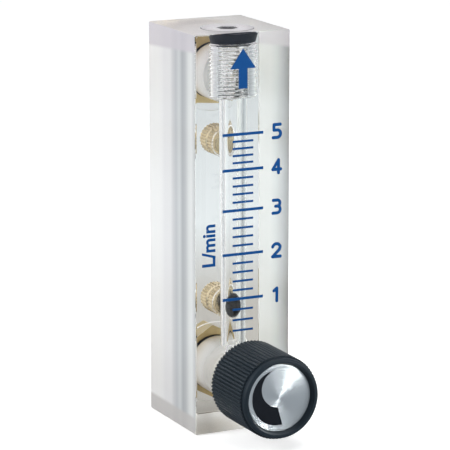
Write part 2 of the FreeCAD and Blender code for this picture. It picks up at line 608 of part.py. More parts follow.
def scale_numbers():
    """The numbers 1 to 5 beside the long lines, each drawn with a round pen."""
    half_width = size("(number_width - number_stroke) / 2")
    half_height = size("(number_height - number_stroke) / 2")

    def pen(*pairs):
        return [Vector(across * half_width, up * half_height, 0) for across, up in pairs]

    digits = [
        [(pen((-0.6, 0.6), (0.15, 1), (0.15, -1)), ())],
        [(pen((-0.95, 0.55), (0, 1), (0.95, 0.5), (0.75, 0.05), (-1, -1), (1, -1)), (1,))],
        [(pen((-0.85, 1), (0.15, 1), (0.835, 0.53), (0.15, 0.06), (-0.25, 0.06)), (2,)),
         (pen((-0.25, 0.06), (0.15, 0.06), (0.92, -0.47), (0.1, -1), (-0.95, -1)), (2,))],
        [(pen((0.2, 0.75), (0.45, 1), (0.45, -1)), ()),
         (pen((0.45, 1), (-1, -0.45), (1, -0.45)), ())],
        [(pen((0.85, 1), (-0.75, 1), (-0.75, 0.15), (0.1, 0.15), (0.935, -0.42), (0.1, -1),
              (-0.95, -1)), (4,))],
    ]
    solids = []
    for strokes, mark in zip(digits, MARKS[1:]):
        faces = [stroke(*each) for each in strokes]
        face = faces[0].multiFuse(faces[1:]).removeSplitter() if faces[1:] else faces[0]
        solid = face.extrude(Vector(0, 0, size("print_thickness")))
        solid.translate(Vector(size("block_width / 2 - number_margin"),
                               size(f"seat_level + {mark}"), 0))
        solids.append(solid)
    numbers = doc.addObject("Part::Feature", "scale_numbers")
    numbers.Label = "scale_numbers"
    numbers.Shape = Part.makeCompound(solids)
    numbers.Placement = FreeCAD.Placement(Vector(0, size("front"), 0),
                                          Rotation(Vector(1, 0, 0), 90))
    return numbers


def flow_arrow():
    """Plain arrow, upwards, above the scale."""
    body = new_body("flow_arrow")
    foot = "block_height - arrow_drop"
    tip = foot + " + arrow_height"
    neck = tip + " - arrow_head"
    pad = body.newObject("PartDesign::Pad", "arrow")
    pad.Profile = outline(body, "arrow_outline", [
        ("0 - arrow_shaft / 2", foot), ("arrow_shaft / 2", foot),
        ("arrow_shaft / 2", neck), ("arrow_width / 2", neck), ("0", tip),
        ("0 - arrow_width / 2", neck), ("0 - arrow_shaft / 2", neck)])
    bind(pad, Length="print_thickness")
    doc.recompute()
    return place(body, "Z", y="front")


def float_ball():
    ball = doc.addObject("Part::Sphere", "float_ball")
    ball.Label = "float_ball"
    bind(ball, Radius="ball_diameter / 2")
    return place(ball, "Z", y="bore_y", z="ball_level")


def build_parts():
    """Make every piece of the meter, in the order that it goes together."""
    pieces = [meter_block(), float_ball(), float_stop(), top_plug()]
    pieces.append(cone_seal("top_plug_seal", "Z", "plug_neck", "plug_thread", "plug_head",
                            "cone_level", "head_level", y="bore_y"))
    for name, height in (("inlet", "port_height"), ("outlet", "outlet_height")):
        pieces.append(port_fitting(name + "_fitting", height, name + "_turn"))
        pieces.append(cone_seal(name + "_seal", "Y", "fitting_neck", "port_thread",
                                "port_seal_mouth", "fitting_face - port_seal_depth",
                                "fitting_face", y="rear", z=height))
    pieces += [mount_insert(name, height) for name, height in insert_heights()]
    pieces.append(valve_body())
    pieces.append(cone_seal("valve_body_seal", "Y", "valve_neck", "valve_thread",
                            "valve_seal_mouth", "valve_seal_depth", "0",
                            y="front", z="port_height"))
    pieces.append(ring_seal("valve_nose_seal", "nose_seal_groove", "nose_seal_section",
                            "0", "nose_seal_depth"))
    pieces.append(ring_seal("stem_seal", "stem_seal_floor", "stem_seal_section",
                            "running_fit", "stem_seal_depth"))
    pieces += [valve_stem(), knob_shell(), knob_bush(), knob_set_screw(), knob_inlay(),
               inlay_mark(), scale_ticks(), scale_numbers(), flow_arrow()]
    doc.recompute()
    return pieces


def check(pieces):
    """Stop on any feature that failed, and on any piece that is not a sound solid."""
    for item in doc.Objects:
        assert not {"Invalid", "Error"} & set(item.State), item.Name + " failed"
    for piece in pieces:
        shape = piece.Shape
        assert not shape.isNull() and shape.isValid() and shape.Solids, piece.Label + " is unsound"


def export(pieces):
    os.makedirs("parts", exist_ok=True)
    for piece in pieces:
        piece.Shape.exportStep("parts/" + piece.Label + ".step")
        print(f"{piece.Label:20} {len(piece.Shape.Solids):3} solids {piece.Shape.Volume:10.2f} mm3")


parts = build_parts()
check(parts)
export(parts)
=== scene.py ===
"""A small panel flow meter: a clear block with a tapered bore, a ball and a needle valve.

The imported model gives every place. Each sub-assembly is a class: its fields are sizes in
millimetres, and its methods build the meshes and dress them.
"""
import logging
import math
from dataclasses import dataclass
from enum import Enum
from typing import Any, Iterable, Sequence

import bmesh
import bpy
from bmesh.types import BMEdge, BMesh, BMVert
from bpy.types import Material, Object
from mathutils import Matrix, Vector


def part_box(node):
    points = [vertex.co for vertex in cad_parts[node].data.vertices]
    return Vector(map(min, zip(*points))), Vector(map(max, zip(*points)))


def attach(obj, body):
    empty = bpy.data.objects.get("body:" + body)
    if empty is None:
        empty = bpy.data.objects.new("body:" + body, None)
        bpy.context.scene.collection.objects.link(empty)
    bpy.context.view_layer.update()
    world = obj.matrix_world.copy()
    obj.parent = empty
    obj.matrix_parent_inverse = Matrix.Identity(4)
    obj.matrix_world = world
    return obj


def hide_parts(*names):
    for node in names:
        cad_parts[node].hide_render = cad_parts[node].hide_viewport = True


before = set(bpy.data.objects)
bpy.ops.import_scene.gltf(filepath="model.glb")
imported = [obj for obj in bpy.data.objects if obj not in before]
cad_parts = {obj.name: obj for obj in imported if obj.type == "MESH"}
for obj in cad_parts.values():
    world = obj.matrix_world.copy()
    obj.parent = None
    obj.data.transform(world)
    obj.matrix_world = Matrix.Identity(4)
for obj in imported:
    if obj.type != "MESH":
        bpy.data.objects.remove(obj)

MM = 0.001
ROUND = 160
ACRYLIC_IOR = 1.49
log = logging.getLogger("flow_meter")

Corner = tuple[float, float]
Colour = tuple[float, float, float, float]
PaintedLightBand = tuple[float, int, int, int]


class Along(Enum):
    """The way that a turned piece's axis runs."""

    Y = "y"
    Z = "z"

    @property
    def axis(self) -> Vector:
        """The unit vector of the axis."""
        return Vector((0, 1, 0)) if self is Along.Y else Vector((0, 0, 1))

    def point(self, radius: float, station: float) -> Vector:
        """A point of a half section, at a radius and a station along the axis."""
        return Vector((radius, station, 0)) if self is Along.Y else Vector((radius, 0, station))


class Cut(Enum):
    """How one solid changes another."""

    TAKE_AWAY = "DIFFERENCE"
    JOIN = "UNION"
    KEEP_COMMON = "INTERSECT"


@dataclass(frozen=True)
class Extent:
    """The box of a CAD node at rest, in millimetres."""

    low: Vector
    high: Vector

    @classmethod
    def of(cls, node: str) -> "Extent":
        """Read a node's box from the imported model."""
        low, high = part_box(node)
        return cls(low / MM, high / MM)

    @property
    def centre(self) -> Vector:
        """The middle of the box."""
        return (self.low + self.high) / 2


# ---- Shader nodes ---------------------------------------------------------------------------

class Signal:
    """One output socket, which can be used in arithmetic."""

    def __init__(self, shader: "Shader", socket: bpy.types.NodeSocket) -> None:
        """Wrap a socket; the shader adds the Math nodes."""
        self.shader = shader
        self.socket = socket

    def _math(self, operation: str, first: Any, second: Any = None) -> "Signal":
        """Add a Math node on one or two signals or numbers, and give its value."""
        sockets = {0: first} if second is None else {0: first, 1: second}
        return self.shader.add("ShaderNodeMath", {"operation": operation}, sockets)["Value"]

    def __add__(self, other: Any) -> "Signal":
        """self + other."""
        return self._math("ADD", self, other)

    def __sub__(self, other: Any) -> "Signal":
        """self - other."""
        return self._math("SUBTRACT", self, other)

    def __rsub__(self, other: Any) -> "Signal":
        """other - self."""
        return self._math("SUBTRACT", other, self)

    def __mul__(self, other: Any) -> "Signal":
        """self * other."""
        return self._math("MULTIPLY", self, other)

    __radd__, __rmul__ = __add__, __mul__

    def __truediv__(self, other: Any) -> "Signal":
        """self / other."""
        return self._math("DIVIDE", self, other)

    def root(self) -> "Signal":
        """The square root of the value."""
        return self._math("SQRT", self)

    def sine(self) -> "Signal":
        """The sine of the value, in radians."""
        return self._math("SINE", self)

    def clamped(self) -> "Signal":
        """The value held between 0 and 1."""
        return self._math("MAXIMUM", self._math("MINIMUM", self, 1.0), 0.0)


class Outputs:
    """A node's outputs, by name."""

    def __init__(self, shader: "Shader", node: bpy.types.Node) -> None:
        """Wrap a node of the shader's tree."""
        self.shader = shader
        self.node = node

    def __getitem__(self, name: str | int) -> Signal:
        """The output of that name or number."""
        return Signal(self.shader, self.node.outputs[name])


class Shader:
    """A node tree and the one method that adds to it."""

    def __init__(self, owner: Material | bpy.types.World) -> None:
        """Start from an empty tree.

        Args:
            owner: the material or the world that the tree belongs to.
        """
        owner.use_nodes = True
        self.owner = owner
        self.tree = owner.node_tree
        self.tree.nodes.clear()

    @classmethod
    def for_material(cls, name: str) -> "Shader":
        """Make a material and the keeper of its tree."""
        return cls(bpy.data.materials.new(name))

    def add(self, kind: str, settings: dict[str, Any] | None = None,
            sockets: dict[str | int, Any] | None = None) -> Outputs:
        """Add a node.

        Args:
            kind: the node's type.
            settings: the node's own properties; a ramp takes "stops", as (place, colour) pairs.
            sockets: a signal or a plain value for each named or numbered input.

        Returns:
            The node's outputs.
        """
        node = self.tree.nodes.new(kind)
        for name, value in (settings or {}).items():
            if name == "stops":
                self._set_stops(node.color_ramp, value)
            else:
                setattr(node, name, value)
        for name, value in (sockets or {}).items():
            socket = node.inputs[name]
            if isinstance(value, Signal):
                self.tree.links.new(value.socket, socket)
            else:
                socket.default_value = value
        return Outputs(self, node)

    @staticmethod
    def _set_stops(ramp: bpy.types.ColorRamp, stops: Sequence[tuple[float, Any]]) -> None:
        """Give a ramp its stops.

        Args:
            ramp: the colour ramp.
            stops: (place, colour) pairs, from the first to the last.
        """
        while len(ramp.elements) < len(stops):
            ramp.elements.new(0.5)
        for element, (place, colour) in zip(ramp.elements, stops):
            element.position = place
            element.color = colour

    def place(self) -> Signal:
        """Object coordinates, in metres."""
        return self.add("ShaderNodeTexCoord")["Object"]

    def parts(self, vector: Signal) -> Outputs:
        """The X, Y and Z of a vector."""
        return self.add("ShaderNodeSeparateXYZ", sockets={"Vector": vector})

    def moved(self, vector: Signal, offset: Vector, scale: Sequence[float] = (1, 1, 1)) -> Signal:
        """A vector less an offset in metres, and then scaled along each axis."""
        shifted = self.vector("SUBTRACT", vector, tuple(offset))
        return self.vector("MULTIPLY", shifted, tuple(scale))

    def vector(self, operation: str, first: Signal, second: Any = None) -> Signal:
        """Add a Vector Math node.

        Args:
            operation: the node's operation.
            first: a vector.
            second: a vector, or for SCALE the factor, if the operation takes two.

        Returns:
            The new vector, or for LENGTH the length.
        """
        sockets = {0: first}
        if second is not None:
            sockets["Scale" if operation == "SCALE" else 1] = second
        made = self.add("ShaderNodeVectorMath", {"operation": operation}, sockets)
        return made["Value" if operation == "LENGTH" else "Vector"]

    def leaning(self, way: Any, share: Signal) -> Signal:
        """The surface's normal, leant over.

        Args:
            way: the direction in which it leans.
            share: how far it leans, beside its own length of 1.

        Returns:
            The normal.
        """
        lean = self.vector("SCALE", way, share)
        facing = self.add("ShaderNodeNewGeometry")["Normal"]
        return self.vector("NORMALIZE", self.vector("ADD", facing, lean))

    def blend(self, share: Any, first: Any, second: Any) -> Signal:
        """The first colour, with as much of the second over it as the share says."""
        return self.add("ShaderNodeMix", {"data_type": "RGBA"},
                        {0: share, 6: first, 7: second})[2]

    def noise(self, vector: Signal, scale: float, detail: float = 2.0) -> Signal:
        """Soft noise between 0 and 1, with scale lumps in a unit and detail finer layers."""
        return self.add("ShaderNodeTexNoise", {},
                        {"Vector": vector, "Scale": scale, "Detail": detail})["Fac"]

    def bump(self, height: Signal, strength: float, distance: float) -> Signal:
        """The normal that a height from 0 to 1 gives, with the height of a 1 in metres."""
        return self.add("ShaderNodeBump", {},
                        {"Height": height, "Strength": strength, "Distance": distance})["Normal"]

    def surface(self, bloom: float = 0.0, **sockets: Any) -> Material:
        """End the tree in a Principled surface.

        Args:
            bloom: the share of the surface that passes light scattered, as frosting does.
            sockets: its inputs, with an underscore for each space.

        Returns:
            The material.
        """
        named = {name.replace("_", " "): value for name, value in sockets.items()}
        made = self.add("ShaderNodeBsdfPrincipled", {}, named)["BSDF"]
        if bloom:
            frost = self.add("ShaderNodeBsdfTranslucent", {}, {
                "Color": sockets["Base_Color"]})["BSDF"]
            made = self.add("ShaderNodeMixShader", {}, {0: bloom, 1: made, 2: frost})["Shader"]
        self.add("ShaderNodeOutputMaterial", {}, {"Surface": made})
        return self.owner


def shade(red: float, green: float, blue: float) -> Colour:
    """A colour that is given as it shows on a screen, from 0 to 255.

    Args:
        red: the red of the screen colour.
        green: the green.
        blue: the blue.

    Returns:
        The colour in scene-linear values, with an alpha of 1.
    """
    def linear(value: float) -> float:
        """One screen value as light."""
        share = value / 255
        return share / 12.92 if share <= 0.04045 else ((share + 0.055) / 1.055) ** 2.4
    return (linear(red), linear(green), linear(blue), 1.0)


# ---- Finishes ---------------------------------------------------------------------------------

@dataclass(frozen=True)
class ClearAcrylic:
    """Polished clear acrylic."""

    name: str = "clear_acrylic"
    colour: Colour = (0.985, 0.99, 0.99, 1.0)

    def material(self) -> Material:
        """Clear, with a very faint unevenness in the polish."""
        shader = Shader.for_material(self.name)
        smear = shader.noise(shader.place(), 180.0, 3.0)
        return shader.surface(Base_Color=self.colour, Roughness=smear * 0.012,
                              IOR=ACRYLIC_IOR, Transmission_Weight=1.0)


@dataclass(frozen=True)
class SatinAcrylic:
    """Acrylic as a fly cutter leaves it: light gets through, smeared across the cutter's marks."""

    name: str
    along_marks: tuple[float, float, float]
    colour: Colour
    clear: float = 0.8
    rough: float = 0.3
    lean: float = 0.5
    painted_shade_right: Colour | None = None
    half_width: float = 13.0
    mark: float = 0.02

    def material(self) -> Material:
        """Marks too fine to see lean the surface both ways, and a bloom lies over them. The right
        of the face may be painted darker than the left: painted shade."""
        shader = Shader.for_material(self.name)
        place = shader.place()
        marks = shader.add("ShaderNodeTexWhiteNoise", {"noise_dimensions": "3D"}, {
            "Vector": shader.vector("SNAP", place, (self.mark * MM,) * 3)})["Value"]
        normal = shader.leaning(self.along_marks, (marks - 0.5) * (2 * self.lean))
        cloud = shader.noise(shader.moved(place, Vector(), (30.0, 260.0, 12.0)), 1.0, 2.0)
        # Painted shade: the colour goes over to a darker one towards the right of the face.
        share = (shader.parts(place)["X"] / (self.half_width * MM)).clamped()
        colour = shader.blend(share, self.colour, self.painted_shade_right or self.colour)
        return shader.surface(Base_Color=colour, Roughness=self.rough + cloud * 0.12,
                              IOR=ACRYLIC_IOR, Transmission_Weight=self.clear, Normal=normal)


@dataclass(frozen=True)
class FlyCutSide:
    """A side of the block, with fine marks that run from front to rear, and soft upright stripes
    of painted light and shade across it.

    Each band of colour is painted light and shade, which stands in for the light and the interior
    that the side shows: its share of the way from front to rear, and its colour on a screen.
    """

    box: Extent
    name: str = "fly_cut_left_painted_light"
    clear: float = 0.12
    rough: float = 0.5
    streak: float = 0.25
    scatter: float = 0.4
    shoulder: float = 5.6
    foot: float = 4.8
    fade: float = 0.9
    wander: float = 0.6
    slant: float = 0.06
    shade_cover: float = 0.85
    painted_light_bands: tuple[PaintedLightBand, ...] = (
        (0.00, 206, 208, 209), (0.035, 216, 218, 219), (0.085, 241, 243, 243),
        (0.145, 232, 235, 235), (0.215, 200, 203, 206), (0.275, 186, 190, 194),
        (0.34, 220, 223, 225), (0.41, 202, 205, 209), (0.475, 217, 218, 221),
        (0.53, 239, 239, 241), (0.66, 240, 240, 242), (0.72, 247, 247, 248),
        (0.80, 251, 251, 251), (1.00, 250, 250, 250))

    def material(self) -> Material:
        """Painted light and shade in stripes from front to rear, and painted shade under the top
        face and over the foot.
        """
        shader = Shader.for_material(self.name)
        place = shader.place()
        low, high = self.box.low * MM, self.box.high * MM
        wander = shader.noise(shader.moved(place, Vector(), (0.0, 0.0, 9.0)), 1.0, 1.0) - 0.5
        part = shader.parts(place)
        share = (part["Y"] - low.y + wander * (self.wander * MM)) / (high.y - low.y)
        # Painted light: the ramp of colours from front to rear stands in for light and shade on
        # the side.
        colour = shader.add("ShaderNodeValToRGB", {"stops": tuple(
            (stop, shade(*tone)) for stop, *tone in self.painted_light_bands)}, {"Fac": share})["Color"]
        streaks = shader.noise(shader.moved(place, Vector(), (0.0, 2600.0, 0.0)), 1.0, 3.0)
        colour = shader.blend((streaks - 0.5) * self.streak + 0.03, colour,
                              shade(196, 198, 204))
        # Painted shade: the side is painted greyer under the top face and over the foot.
        painted_shade_under_top = part["Z"] - (high.z - self.shoulder * MM) + part["Y"] * self.slant
        painted_shade_over_foot = low.z + self.foot * MM - part["Z"]
        for reach, grey in ((painted_shade_under_top, shade(218, 214, 221)), (painted_shade_over_foot, shade(208, 205, 204))):
            colour = shader.blend((reach / (self.fade * MM)).clamped() * self.shade_cover, colour, grey)
        cloud = shader.noise(shader.moved(place, Vector(), (0.0, 900.0, 2.0)), 1.0, 2.0)
        return shader.surface(self.scatter, Base_Color=colour,
                              Roughness=self.rough + cloud * 0.15, IOR=ACRYLIC_IOR,
                              Transmission_Weight=self.clear,
                              Normal=shader.bump(streaks, self.streak, 0.00003))


@dataclass(frozen=True)
class MachinedAcrylic:
    """Acrylic as a cutter leaves it: frosted, with fine turning marks."""

    name: str
    centre: Vector
    pitch: float = 0.35
    silver: float = 0.75
    relief: float = 0.03
    glow: float = 0.0
    thread_start: float = 1.0
    thread_end: float = 11.5
    thread_pitch: float = 0.62
    colour: Colour = shade(252, 250, 246)
    painted_brass_tint: Colour = shade(202, 184, 152)

    def material(self) -> Material:
        """White rings about the drill's axis, and towards the rear a painted brown tint on the
        thread that stands in for the brass seen through it. The glow is painted light: the frosted
        face gives off light of its own, in place of light that the block carries to it."""
        shader = Shader.for_material(self.name)
        depth = shader.parts(shader.place())["Y"]
        share = ((depth - self.thread_start * MM) / (
            (self.thread_end - self.thread_start) * MM)).clamped()
        turns = (depth * (2 * math.pi / (self.thread_pitch * MM))).sine() * 0.4 + 0.5
        # Painted see-through: towards the rear the thread lines take a brown tint that stands in
        # for the brass behind them.
        colour = shader.blend(share * share * turns, self.colour, self.painted_brass_tint)
        place = shader.parts(shader.moved(shader.place(), self.centre * MM))
        across, up = place["X"], place["Z"]
        radius = (across * across + up * up).root()
        rings = (radius * (2 * math.pi / (self.pitch * MM))).sine() * 0.5 + 0.5
        grain = shader.noise(shader.place(), 2600.0, 4.0)
        height = rings * 0.6 + grain * 0.4
        # Painted light: the emission gives the frosted face a glow of its own.
        return shader.surface(Base_Color=colour, Roughness=0.42 + grain * 0.2, IOR=ACRYLIC_IOR,
                              Metallic=self.silver, Transmission_Weight=0.1,
                              Emission_Strength=self.glow,
                              Normal=shader.bump(height, 0.5, self.relief * MM))


@dataclass(frozen=True)
class Grain:
    """Noise in a finish: how many lumps fit in a metre, along each axis if they are drawn out."""

    lumps: float | tuple[float, float, float]
    layers: float

    def read(self, shader: Shader) -> Signal:
        """The noise on a surface, between 0 and 1."""
        place = shader.place()
        if isinstance(self.lumps, tuple):
            return shader.noise(shader.moved(place, Vector(), self.lumps), 1.0, self.layers)
        return shader.noise(place, self.lumps, self.layers)


@dataclass(frozen=True)
class Grained:
    """A finish with soft patches of colour, uneven gloss and fine relief."""

    name: str
    dull: Colour
    bright: Colour
    patches: Grain
    rough: float
    spread: float
    metal: float = 0.0
    gloss: float = 0.5
    index: float = 1.5
    grain: Grain | None = None
    lines: Grain | None = None
    relief: float = 0.0
    depth: float = 0.0

    def material(self) -> Material:
        """Colour by the patches, roughness by the grain and relief by the lines."""
        shader = Shader.for_material(self.name)
        patches = self.patches.read(shader)
        grain = self.grain.read(shader) if self.grain else patches
        lines = self.lines.read(shader) if self.lines else grain
        relief = {}
        if self.relief:
            relief["Normal"] = shader.bump(lines, self.relief, self.depth * MM)
        return shader.surface(Base_Color=shader.blend(patches, self.dull, self.bright),
                              Roughness=self.rough + grain * self.spread, Metallic=self.metal,
                              Specular_IOR_Level=self.gloss, IOR=self.index, **relief)


@dataclass(frozen=True)
class SpunAluminium:
    """Aluminium with a spun finish: fine rings about the knob's axis."""

    centre: Vector
    name: str = "spun_aluminium"
    rings_per_mm: float = 9.0
    tilt: float = 0.22

    def material(self) -> Material:
        """Each ring's flanks lean in and out, which spreads a light into two fans."""
        shader = Shader.for_material(self.name)
        flat = shader.moved(shader.place(), self.centre * MM, (1.0, 0.0, 1.0))
        radius = shader.vector("LENGTH", flat)
        waves = (radius * (2 * math.pi * self.rings_per_mm / MM)).sine()
        uneven = shader.add("ShaderNodeTexNoise", {"noise_dimensions": "1D"},
                            {"W": radius * 5200.0, "Scale": 1.0, "Detail": 3.0})["Fac"]
        normal = shader.leaning(shader.vector("NORMALIZE", flat),
                                waves * self.tilt + (uneven - 0.5) * 0.3)
        colour = shader.blend(uneven, shade(206, 215, 219), shade(242, 247, 249))
        return shader.surface(Base_Color=colour, Metallic=1.0, Roughness=0.22 + uneven * 0.06,
                              Normal=normal)


class Finishes:
    """Every finish of the meter, made once."""

    def __init__(self) -> None:
        """Make the materials."""
        ports = {name: Extent.of(name + "_seal").centre for name in ("inlet", "outlet")}
        self.clear = ClearAcrylic().material()
        block = Extent.of("meter_block")
        # Both sides are painted light and shade: the same acrylic is painted lighter on the left
        # and darker on the right towards the front, as the lamps fall on them.
        self.left = FlyCutSide(block).material()
        self.right = FlyCutSide(block, "fly_cut_right_painted_light", 0.9, 0.4, 0.06, painted_light_bands=(
            (0.00, 128, 131, 132), (0.05, 128, 132, 135), (0.16, 158, 164, 167),
            (0.30, 192, 199, 201), (0.46, 222, 229, 229), (0.62, 238, 243, 241),
            (1.00, 243, 247, 244))).material()
        self.spotface = SatinAcrylic("spotface_acrylic", (0, 0, 1), shade(252, 252, 252), 0.95,
                                     0.25, 0.1).material()
        # The top face is painted darker towards its right: painted shade.
        self.top = SatinAcrylic("satin_acrylic_top", (0, 1, 0), shade(224, 218, 219), 0.55,
                                0.35, painted_shade_right=shade(198, 193, 191)).material()
        self.head = SatinAcrylic("turned_acrylic_head", (0, 1, 0), shade(248, 242, 246), 0.5,
                                 0.35).material()
        self.foot = SatinAcrylic("satin_acrylic_foot", (0, 1, 0), shade(216, 208, 196), 0.62,
                                 0.25, 0.12).material()
        self.socket = SatinAcrylic("broached_acrylic", (0, 0, 1), shade(228, 227, 230), 0.8,
                                   0.16, 0.1).material()
        self.joint = SatinAcrylic("plug_joint", (0, 0, 1), shade(104, 98, 106), 0.2,
                                  0.4, 0.1).material()
        self.port_bore = {
            name: MachinedAcrylic("machined_acrylic_" + name, centre).material()
            for name, centre in ports.items()}
        # The port floors glow: painted light on the frosted faces.
        self.port_floor = {
            name: MachinedAcrylic("faced_acrylic_" + name, centre, 0.9, relief=0.16,
                                  glow=0.14).material()
            for name, centre in ports.items()}
        self.fitting, self.insert = (
            Grained(name, dull, bright, Grain(320.0, 3.0), rough, 0.16, metal=1.0,
                    lines=Grain((300.0, 9000.0, 300.0), 2.0), relief=0.35, depth=0.02).material()
            for name, dull, bright, rough in (
                ("fitting_brass", shade(182, 162, 118), shade(226, 203, 155), 0.24),
                ("insert_brass", shade(166, 146, 108), shade(222, 206, 170), 0.1)))
        self.rubber = Grained(
            "seal_rubber", shade(5, 12, 25), shade(13, 26, 47), Grain(1500.0, 3.0), 0.36, 0.18,
            gloss=0.25, relief=0.3, depth=0.02).material()
        self.steel = Grained(
            "turned_steel", shade(168, 170, 172), shade(206, 208, 210),
            Grain((200.0, 12000.0, 200.0), 2.0), 0.22, 0.12, metal=1.0, relief=0.3,
            depth=0.01).material()
        self.black_glass = Grained(
            "black_glass", shade(2, 6, 11), shade(9, 16, 24), Grain(3000.0, 2.0), 0.05, 0.05,
            gloss=0.14, index=1.52).material()
        self.plastic = Grained(
            "knob_plastic", shade(24, 32, 39), shade(32, 42, 50), Grain(140.0, 2.0), 0.34, 0.16,
            gloss=0.14, grain=Grain(2400.0, 4.0), relief=0.4, depth=0.04).material()
        self.aluminium = SpunAluminium(Extent.of("knob_inlay").centre).material()
        self.blue, self.black = (
            Grained(name, thin, full, Grain(900.0, 3.0), 0.42, 0.14, gloss=0.08).material()
            for name, thin, full in (
                ("blue_print", shade(8, 72, 132), shade(2, 64, 124)),
                ("black_print", shade(22, 27, 34), shade(14, 18, 24))))


# ---- Mesh tools -------------------------------------------------------------------------------

def placed(name: str, data: bpy.types.ID) -> Object:
    """Put a mesh, curve, lamp or camera in the scene as an object.

    Args:
        name: the object's name.
        data: what the object shows.

    Returns:
        The object, at the origin.
    """
    made = bpy.data.objects.new(name, data)
    bpy.context.scene.collection.objects.link(made)
    return made


def applied(made: Object) -> bpy.types.Mesh:
    """The mesh of an object as it shows, with its modifiers or its outline worked out."""
    graph = bpy.context.evaluated_depsgraph_get()
    return bpy.data.meshes.new_from_object(made.evaluated_get(graph), depsgraph=graph)


def shift(bm: BMesh, offset: Sequence[float]) -> None:
    """Move a whole mesh."""
    bmesh.ops.translate(bm, verts=bm.verts, vec=Vector(offset))


def roll(bm: BMesh, degrees: float, axis: str) -> None:
    """Turn a whole mesh about an axis through the origin."""
    bmesh.ops.rotate(bm, verts=bm.verts, cent=(0, 0, 0),
                     matrix=Matrix.Rotation(math.radians(degrees), 3, axis))


def turned(corners: Sequence[Corner], along: Along, centre: Sequence[float],
           steps: int = ROUND) -> BMesh:
    """Turn a half section about an axis.

    Args:
        corners: (radius, station) pairs in millimetres, with both ends on the axis.
        along: the way the axis runs.
        centre: a point on the axis where stations start.
        steps: how many steps make the full turn.

    Returns:
        The turned mesh, with its faces outwards.
    """
    bm = bmesh.new()
    verts = [bm.verts.new(along.point(radius, station)) for radius, station in corners]
    edges = [bm.edges.new(pair) for pair in zip(verts, verts[1:])]
    bmesh.ops.spin(bm, geom=verts + edges, cent=(0, 0, 0), axis=along.axis,
                   angle=2 * math.pi, steps=steps, use_merge=True)
    bmesh.ops.remove_doubles(bm, verts=bm.verts, dist=1e-4)
    bmesh.ops.recalc_face_normals(bm, faces=bm.faces)
    shift(bm, centre)
    return bm


def hexagonal(flats: float, low: float, high: float, along: Along, centre: Sequence[float],
              turn: float = 0.0, edge: float = 0.0) -> BMesh:
    """A hexagonal prism.

    Args:
        flats: the size across its flats.
        low: its lower station.
        high: its upper station.
        along: the way its axis runs.
        centre: a point on the axis where stations start.
        turn: how far it is turned about its axis, in degrees.
        edge: the width of the rounding on its long edges.

    Returns:
        The prism.
    """
    bm = bmesh.new()
    bmesh.ops.create_cone(bm, cap_ends=True, segments=6, radius1=flats / math.sqrt(3),
                          radius2=flats / math.sqrt(3), depth=high - low)
    if edge:
        long_edges = [e for e in bm.edges if abs((e.verts[0].co - e.verts[1].co).z) > 1e-6]
        bmesh.ops.bevel(bm, geom=long_edges, offset=edge, offset_type="OFFSET",
                        affect="EDGES", segments=3, profile=0.5, material=-1)
    roll(bm, turn, "Z")
    shift(bm, (0, 0, (low + high) / 2))
    if along is Along.Y:
        roll(bm, -90, "X")
    shift(bm, centre)
    return bm


def thread(crest: float, root: float, start: float, end: float, pitch: float) -> list[Corner]:
    """The corners of a threaded stretch of a half section.

    Args:
        crest: the radius at the start of each turn.
        root: the radius half-way through each turn.
        start: the station where it starts.
        end: the station where it ends.
        pitch: the length of a turn.

    Returns:
        Corners from start to end.
    """
    turns = max(1, round(abs(end - start) / pitch))
    step = (end - start) / turns
    corners: list[Corner] = []
    for turn in range(turns):
        here = start + turn * step
        corners += [(crest, here), (crest, here + step * 0.12), (root, here + step * 0.44),
                    (root, here + step * 0.56), (crest, here + step * 0.88)]
    return corners + [(crest, end)]


def solid(bm: BMesh, name: str, *materials: Material) -> Object:
    """Make an object of a mesh that is in millimetres.

    Args:
        bm: the mesh, which is freed.
        name: the object's name.
        materials: its materials, the first of which its faces take.

    Returns:
        The object, at the origin.
    """
    bmesh.ops.scale(bm, vec=(MM, MM, MM), verts=bm.verts)
    mesh = bpy.data.meshes.new(name)
    bm.to_mesh(mesh)
    bm.free()
    for material in materials:
        mesh.materials.append(material)
    return placed(name, mesh)


def change(made: Object, kind: Cut, tool: Object) -> None:
    """Change a solid by another one, which is used up.

    Args:
        made: the solid that stays.
        kind: how it changes.
        tool: the other solid.
    """
    modifier = made.modifiers.new("change", "BOOLEAN")
    modifier.operation = kind.value
    modifier.solver = "EXACT"
    modifier.material_mode = "TRANSFER"
    modifier.object = tool
    mesh = applied(made)
    made.modifiers.clear()
    spent, made.data = made.data, mesh
    bpy.data.meshes.remove(spent)
    used = tool.data
    bpy.data.objects.remove(tool)
    bpy.data.meshes.remove(used)


def finish(made: Object, body: str, replaced: Iterable[str] = (),
           crease: float = 14.0) -> Object:
    """Smooth a piece, tie it to its body, and hide the CAD nodes that it stands for.

    Args:
        made: the piece.
        body: the CAD body that it rides on.
        replaced: the CAD nodes that it replaces.
        crease: the angle in degrees past which an edge stays sharp.

    Returns:
        The piece.
    """
    made.data.name = made.name
    made.data.shade_smooth()
    made.data.set_sharp_from_angle(angle=math.radians(crease))
    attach(made, body)
    nodes = list(replaced)
    if nodes:
        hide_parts(*nodes)
    log.info("%s: %d faces, on %s", made.name, len(made.data.polygons), body)
    return made


def dress(material: Material, *nodes: str) -> None:
    """Give CAD nodes another material.

    Args:
        material: the material for all their slots.
        nodes: the nodes' names.
    """
    for node in nodes:
        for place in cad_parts[node].material_slots:
            place.material = material
        log.info("%s: dressed in %s", node, material.name)


# ---- Sub-assemblies -----------------------------------------------------------------------------

